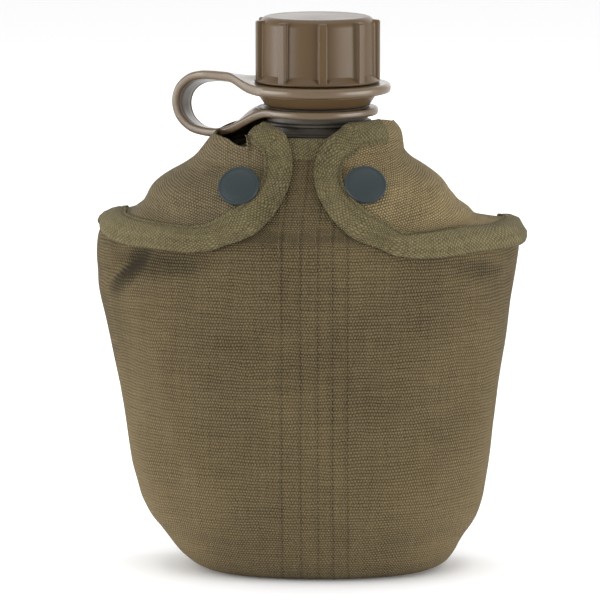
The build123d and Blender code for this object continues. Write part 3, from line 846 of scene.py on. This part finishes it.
for side, canvas in (("left", FLAP_LEFT), ("right", FLAP_RIGHT_LIT)):
    sign = -1 if side == "left" else 1
    front = turns_of(EDGES[side])
    rest = [around(side, *spot) for spot in BACK_EDGES[side]]
    free = even(front + rest, FLAP_COLUMNS, smooth=3)
    ring = [around(side, a, crest_height(side, a)) for a in range(CREST_START[side], 181, 5)]
    if side == "left":
        ring = [around(side, *spot) for spot in HOOK] + ring
    crest = even([front[0]] + ring, FLAP_COLUMNS, smooth=1)
    share = np.linspace(0, 1, FLAP_ROWS)[:, None, None] ** 0.9
    pair = free[None] * (1 - share) + crest[None] * share
    angle, t = pair[..., 0], pair[..., 1]
    flat = raw_surface(angle, t)
    outer = flat + normal_at(angle, t) * flap_lift(side, flat)[..., None]
    uv = np.column_stack([u_at(angle, flat[..., 2]).ravel(), t.ravel()])
    flap = cloth(f"flap_{side}_cloth", outer, uv, 1.0, canvas, outward=float(sign), body=None)
    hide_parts(f"flap_{side}", f"flap_yoke_{side}")

    # the tape runs round the neck, down the free edge and round the side
    bound = even([tuple(p) for p in crest[: NECK_TAPE[side]][::-1]] + front[1:] + rest[:3], 460, smooth=2)
    lift = partial(flap_lift, side)
    label = f"flap_binding_{side}"
    tape = strip(f"{label}_tape", bound, sign, TAPE_SECTION, lift, TAPE, body=None, replaces=[label])
    seam = stitches(f"flap_stitches_{side}", bound, sign, STITCH_IN, lift, 0.62, radius=0.16, body=None)

    # each piece's placement is baked into its points
    for piece in (flap, tape, seam):
        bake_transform(piece)

# -------- front edge binding and stitch rows
hem = even(turns_of([(x, 163.0) for x in (-12.5, -8, 0, 10, 20, 32, 35)]), 160, smooth=1)
HEM_SECTION = (
    *((7.3, -0.2), (7.25, 0.5), (6.8, 0.85), (4.0, 1.0), (1.0, 0.95)),
    *((-0.2, 0.6), (-0.6, -0.3), (-0.3, -1.3), (1.0, -1.7), (4.0, -1.7)),
)
ROW_THREAD = {"pitch": 2.6, "length": 1.9, "radius": 0.14}


def hem_lift(p):
    return front_lift(p[..., 0], p[..., 2])


strip("front_edge_tape", hem, -1, HEM_SECTION, hem_lift, TAPE, replaces=["front_edge_binding"])
stitches("front_edge_stitches", hem, -1, 6.3, hem_lift, 0.95, radius=0.14)
for number, x in enumerate(STITCH_ROWS):
    line = even(turns_of([(x, z) for z in (154, 140, 120, 100, 80, 60, 40, 24, 16, 12)]), 300, smooth=1)
    stitches(f"front_stitch_row_{number}", line, 1, 0, hem_lift, 0.05, **ROW_THREAD)
across = even(turns_of([(x, 33.5) for x in (-11, -5, 0, 5, 10, 15.5)]), 80, smooth=1)
stitches("front_stitch_across", across, 1, 0, hem_lift, 0.05, **ROW_THREAD)

# -------- snaps
def disc_at(name, origin, normal, profile, material, segments=72, **how):
    """A turned piece on a plane. profile is (radius, height) from the rim's underside to the middle."""
    normal = unit(normal)
    across = unit(np.cross([0, 0, 1.0], normal))
    up = np.cross(normal, across)
    turn = np.linspace(0, 2 * math.pi, segments, endpoint=False)
    verts = []
    for r, h in profile:
        for a in turn:
            verts.append(origin + r * (math.cos(a) * across + math.sin(a) * up) + h * normal)
    faces = grid_faces(len(profile), segments, close_columns=True)
    faces.append(tuple((len(profile) - 1) * segments + k for k in range(segments)))
    faces.append(tuple(reversed(range(segments))))
    return mesh(name, verts, faces, material, **how)


SNAP_PROFILE = rounded(
    [(0.01, 1.5), (7.0, 1.5), (7.5, 1.7), (7.62, 2.9), (7.3, 3.35), (6.75, 3.42), (6.55, 3.3), (6.2, 3.55)],
    0.12,
    3,
)[4:]
# the low dome inside the rim
SNAP_PROFILE += [(5.6, 3.78), (4.5, 4.02), (3.0, 4.22), (1.5, 4.32), (0.3, 4.35)]
SOCKET_PROFILE = [(2.4, -1.3), (6.0, -1.3), (6.2, -1.0), (6.0, -0.6), (3.2, -0.5), (3.2, 2.6), (1.0, 2.7)]
for side, (x, z) in SNAP_SPOTS.items():
    angle, t = turns_of([(x, z)])[0]
    angles, lengths = angle + np.array([0, 0.02, 0]), t + np.array([0, 0, 0.5])
    corner = raw_surface(angles, lengths)
    corner = corner + normal_at(angles, lengths) * flap_lift(side, corner)[:, None]
    normal = unit(np.cross(corner[1] - corner[0], corner[2] - corner[0]))
    normal = unit(normal + (0.0, -0.14, -0.06))  # pulled a little to the front
    foot = corner[0] - normal * 1.3
    for part, label, profile, material in (
        ("dome", "snap_cap", SNAP_PROFILE, SNAP),
        ("socket", "snap_socket", SOCKET_PROFILE, BRASS),
    ):
        how = {"body": f"flap_{side}", "replaces": [f"{label}_{side}"]}
        disc_at(f"snap_{side}_{part}", foot, normal, profile, material, **how)

# -------- strap
def turned(points, angle):
    """Points turned about the neck's axis."""
    x, y, z = np.array(points, float).T
    x, c, s = x - NECK_X, math.cos(angle), math.sin(angle)
    return np.column_stack([NECK_X + x * c - y * s, x * s + y * c, z])


STRAP_TURN = math.radians(-20)
UPPER = [(19.3, 177.9), (26.4, 177.8), (27.0, 178.6), (27.0, 180.6), (26.2, 181.4), (19.3, 181.3)]
LOWER = [(19.0, 169.8), (22.0, 169.8), (22.4, 170.4), (22.4, 172.0), (22.0, 172.6), (19.0, 172.6)]
upper = lathe(rounded(UPPER, 0.8, 5))
mesh("strap_ring_top", *upper, STRAP, body="cap_ring", replaces=["strap_upper_ring"])
mesh("strap_ring_bottom", *lathe(rounded(LOWER, 0.6, 5)), STRAP, replaces=["strap_lower_ring"])

# centre line of the band: out from the neck's axis, height, width, thickness
BAND = (
    (27, 179.8, 30, 3.5),
    (33, 181.5, 26.4, 3.4),
    (38.4, 181.8, 20.6, 3.3),
    (44, 181.8, 15, 3.2),
    (49.2, 180.5, 12.6, 3.2),
    (53.4, 176.9, 12, 3.2),
    (54.95, 171.75, 12, 3.2),
    (53.4, 166.3, 12, 3.2),
    (49.2, 162.5, 12.2, 3.2),
    (44, 161.1, 13, 3.2),
    (38.8, 161.3, 15, 3.1),
    (33.6, 162.6, 18, 3),
    (23, 171, 26, 2.8),
)
# each ring: radius, degrees to where the band's edge leaves it, height, thickness, which face of the
# band is up, and its slope there
UPPER_JOIN = (27.0, 62.0, 179.6, 3.5, 1, 1.0)
LOWER_JOIN = (22.4, 65.0, 171.2, 2.7, -1, 0.0)


def spline(points, count):
    """Catmull-Rom through rows of numbers."""
    p = np.asarray(points, float)
    p = np.vstack([2 * p[0] - p[1], p, 2 * p[-1] - p[-2]])
    out = []
    for place in np.linspace(0, len(p) - 3 - 1e-6, count):
        i = int(place)
        t = place - i
        a, b, c, d = p[i : i + 4]
        square, cube = 2 * a - 5 * b + 4 * c - d, 3 * b - a - 3 * c + d
        out.append(0.5 * (2 * b + (c - a) * t + square * t**2 + cube * t**3))
    return np.array(out)


GROOVE = 0.72  # share of the half width where a shallow groove runs along the band's edge


def band_section(width, thick, corner=1.0):
    """Round-cornered outline of the band: the share of its half width, then the height over its middle."""
    half_w, half_t = width / 2, thick / 2
    section = []
    for cx, cy, begin in ((1, 1, 0), (-1, 1, 90), (-1, -1, 180), (1, -1, 270)):
        for k in range(6):
            a = math.radians(begin + 18 * k)
            x = cx * (half_w - corner) + corner * math.cos(a)
            section.append((x / half_w, cy * (half_t - corner) + corner * math.sin(a)))
        if begin in (0, 180):
            direction = 1 if begin == 0 else -1
            for share in (0.80, GROOVE, 0.64, 0.3, 0.0, -0.3, -0.64, -GROOVE, -0.80):
                dip = 0.25 if abs(share) == GROOVE else 0.0
                section.append((direction * share, direction * (half_t - dip)))
    return section


middle = spline(BAND[1:-1], 120)
along = unit(np.gradient(middle[:, :2], axis=0))


FLARE = 20  # how much wider the band is where it meets a ring
SINK = 1.6  # how far the middle of its root sits inside the rim


def join_rows(radius, degrees, ring_z, ring_thick, face, bulge, end, end_slope, steps=14):
    """Rows from inside the ring's rim out to the band's end row, along tangents to the ring."""
    out = []
    for k in (5, 4, 3, 2, 1):
        row = []
        for f, up in band_section(end[2] + FLARE, ring_thick):
            a = math.radians(degrees + 3.2 * k) * f
            r = radius - 0.08 * k - (SINK + 0.5 * k) * (1 - abs(f) ** 4)
            row.append((NECK_X - r * math.cos(a), -r * math.sin(a), ring_z + face * up))
        out.append(row)
    for j in np.linspace(0, 1, steps, endpoint=False):
        thick = ring_thick + (end[3] - ring_thick) * j
        row = []
        for f, up in band_section(end[2] + FLARE * (1 - j), thick):
            a = math.radians(degrees) * f
            start_r = radius - SINK * (1 - abs(f) ** 4)
            start_x = start_r * math.cos(a)
            drop, reach = end[1] - ring_z, end[0] - start_x
            k = end_slope * reach / drop
            z = ring_z + drop * (bulge * j * (1 - j) ** 2 + (3 - k) * j**2 + (k - 2) * j**3)
            slope = drop * (bulge * (1 - j) * (1 - 3 * j) + 2 * (3 - k) * j + 3 * (k - 2) * j**2) / reach
            up = face * up / math.hypot(1, slope)
            x = start_x * (1 - j) + end[0] * j
            y = start_r * math.sin(a) * (1 - j) + f * end[2] / 2 * j
            row.append((NECK_X - x + slope * up, -y, z + up))
        out.append(row)
    return out


band = join_rows(*UPPER_JOIN, BAND[1], along[0][1] / along[0][0])
for (r, z, width, thick), (dr, dz) in zip(middle, along):
    section = band_section(width, thick)
    band.append([(NECK_X - (r - dz * up), -f * width / 2, z + dr * up) for f, up in section])
band += join_rows(*LOWER_JOIN, BAND[-2], along[-1][1] / along[-1][0])[::-1]
LEAN, LOOP_Z = 0.155, 171.75


def leaned(x, y, z):
    """The band's free part leans, its far edge lower."""
    out = math.hypot(NECK_X - x, y)
    return x, y, z - LEAN * y * float(ease(out, 26.5, 33) if z > LOOP_Z else ease(out, 35, 46))


rows = [leaned(*p) for row in band for p in row]
sides = len(band[0])
verts = turned(rows, STRAP_TURN)
faces = grid_faces(len(band), sides, close_columns=True)
faces.append(tuple(reversed(range(sides))))
faces.append(tuple((len(band) - 1) * sides + k for k in range(sides)))
loop = mesh("strap_loop_band", verts, faces, STRAP, body=None, replaces=["strap_loop"])
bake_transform(loop)

# -------- cap
WALL_R, RIB_R, SHOULDER_Z, TOP_Z = 20.95, 23.05, 202.8, 205.8
RIB_PITCH = 2 * math.pi / 9
FIRST_RIB = math.radians(-81)
turn = np.linspace(0, 2 * math.pi, 720, endpoint=False)
from_rib = (turn - FIRST_RIB + RIB_PITCH / 2) % RIB_PITCH - RIB_PITCH / 2
heights = [*np.linspace(181.7, 182.3, 5), *np.linspace(182.5, 185.5, 22), *np.linspace(185.8, SHOULDER_Z, 40)]


def level_ring(value):
    return np.full(turn.shape, value)


gap = np.abs(from_rib) * 22.0
rib = 1 - ease(gap, 1.3, 1.72)
between = np.clip((gap - 1.5) / 2.6, 0, 1) ** 0.5
profile = []
for z in heights:
    body = WALL_R + 0.2 * (203 - z) / 20
    bevel_top = 183.5 + 1.3 * between
    body = body + 1.95 * np.clip((bevel_top - z) / (bevel_top - 182.5), 0, 1)
    r = body + (np.maximum(RIB_R, body) - body) * rib
    foot = np.clip((182.3 - z) / 0.6, 0, 1)
    profile.append((r - 0.6 * (1 - np.sqrt(1 - foot**2)), level_ring(z)))
# the rounded shoulder, with the ribs' ends standing a little out of it
RIB_ENDS = ((RIB_R, 203.3), (RIB_R, 203.7), (23.0, 204.0), (22.85, 204.3), (22.5, 204.45))
for k in range(1, 15):
    a = math.radians(90 * k / 14)
    r, z = WALL_R - 3.05 * (1 - math.cos(a)), SHOULDER_Z + 3.0 * math.sin(a)
    rib_r, rib_z = RIB_ENDS[k - 1] if k < 6 else (r, max(z, 204.5))
    profile.append((r + (rib_r - r) * rib, z + (rib_z - z) * rib))
for r in (16.5, 14.0, 10.0, 6.0, 3.0, 1.2, 0.15):
    profile.append((level_ring(r), level_ring(TOP_Z - 0.12 * (r / 16.5) ** 2)))
# radius and height from the foot of the wall down the stepped skirt and up inside
inner = [
    *((22.0, 181.7), (18.9, 181.7), (18.9, 177.6), (21.7, 177.45), (21.75, 176.85), (21.2, 176.7)),
    *((21.15, 176.0), (20.7, 175.85), (20.6, 175.15), (20.15, 175.0), (20.05, 174.3), (19.6, 174.1)),
    *((19.45, 173.4), (18.2, 173.4), (17.9, 180.0), (17.9, 201.4), (0.15, 201.6)),
]
grid = [(level_ring(r), level_ring(z)) for r, z in inner[::-1]] + profile
verts = [np.column_stack([NECK_X + r * np.cos(turn), r * np.sin(turn), z]) for r, z in grid]
faces = grid_faces(len(grid), len(turn), close_columns=True)
faces.append(tuple(reversed(range(len(turn)))))
last = (len(grid) - 1) * len(turn)
faces.append(tuple(last + k for k in range(len(turn))))
mesh("cap_moulding", np.vstack(verts), faces, CAP, body="cap", replaces=["cap"])

# -------- carried-over pieces
FINISH = (
    (RUBBER, ("cap_gasket",)),
    (FELT, ("front_webbing",)),
    (BRASS, ("snap_stud_left", "snap_stud_right", "stud_washers")),
    (STEEL, ("drain_eyelet", "drain_washer")),
    (WEBBING, ("hanger_strap_left", "hanger_strap_right", "keeper_loops_left", "keeper_loops_right")),
    (STEEL, ("keeper_clip_left", "keeper_clip_right", "keeper_slide_left", "keeper_slide_right")),
)
for material, name in [(material, name) for material, names in FINISH for name in names]:
    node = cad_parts[name]
    node.data.materials.clear()
    node.data.materials.append(material)
    edge = node.modifiers.new("worn edges", "BEVEL")
    edge.width = 0.25 * MM
    edge.segments = 2
    edge.limit_method = "ANGLE"
    edge.angle_limit = math.radians(40)
    edge.harden_normals = False

# -------- floor, light and camera
SPAN = 6.0
ground = bpy.data.meshes.new("floor")
corners = [(x * SPAN, y * SPAN, 0) for x, y in ((-1, -1), (1, -1), (1, 1), (-1, 1))]
ground.from_pydata(corners, [], [(0, 1, 2, 3)])
paper = Nodes("floor_paper", 0.9)
paper.set("Base Color", (0.93, 0.93, 0.93, 1.0))
ground.materials.append(paper.material)
floor = bpy.data.objects.new("floor", ground)
bpy.context.scene.collection.objects.link(floor)

world = bpy.data.worlds.new("studio")
world.use_nodes = True
world.node_tree.nodes["Background"].inputs["Color"].default_value = (1.0, 1.0, 1.0, 1.0)
world.node_tree.nodes["Background"].inputs["Strength"].default_value = 1.0
bpy.context.scene.world = world
bpy.context.scene.view_settings.view_transform = "Standard"


def area_light(name, place, target, size, power):
    data = bpy.data.lights.new(name, "AREA")
    data.shape = "RECTANGLE"
    data.size, data.size_y = size
    data.energy = power
    light = bpy.data.objects.new(name, data)
    light.location = place
    light.visible_camera = False
    light.rotation_euler = (Vector(target) - Vector(place)).to_track_quat("-Z", "Y").to_euler()
    bpy.context.scene.collection.objects.link(light)


area_light("left", (-1.25, -0.45, 0.16), (0, 0, 0.03), (1.3, 0.35), 19)
area_light("right", (1.25, -0.45, 0.16), (0, 0, 0.03), (1.3, 0.35), 18)
area_light("top", (0.0, 0.10, 1.5), (0, 0, 0.12), (1.2, 1.0), 8)
area_light("behind", (0.0, 1.7, 0.55), (0, 0, 0.18), (2.2, 0.9), 7)
area_light("front", (-0.5, -1.6, 1.0), (0, 0, 0.10), (0.8, 0.8), 2)

AZIMUTH, ELEVATION, DISTANCE = math.radians(4.0), math.radians(8.5), 1.8
right = Vector((math.cos(AZIMUTH), math.sin(AZIMUTH), 0))
level = math.cos(ELEVATION)
back = Vector((math.sin(AZIMUTH) * level, -math.cos(AZIMUTH) * level, math.sin(ELEVATION)))
aim = Vector((0, 0, 0.1006)) - right * 0.0033  # the middle of the picture
lens = bpy.data.cameras.new("camera")
lens.sensor_width, lens.lens = 36, 292.7
lens.clip_end = 50
camera = bpy.data.objects.new("camera", lens)
camera.location = aim + back * DISTANCE
camera.rotation_euler = (-back).to_track_quat("-Z", "Y").to_euler()
bpy.context.scene.collection.objects.link(camera)
bpy.context.scene.camera = camera
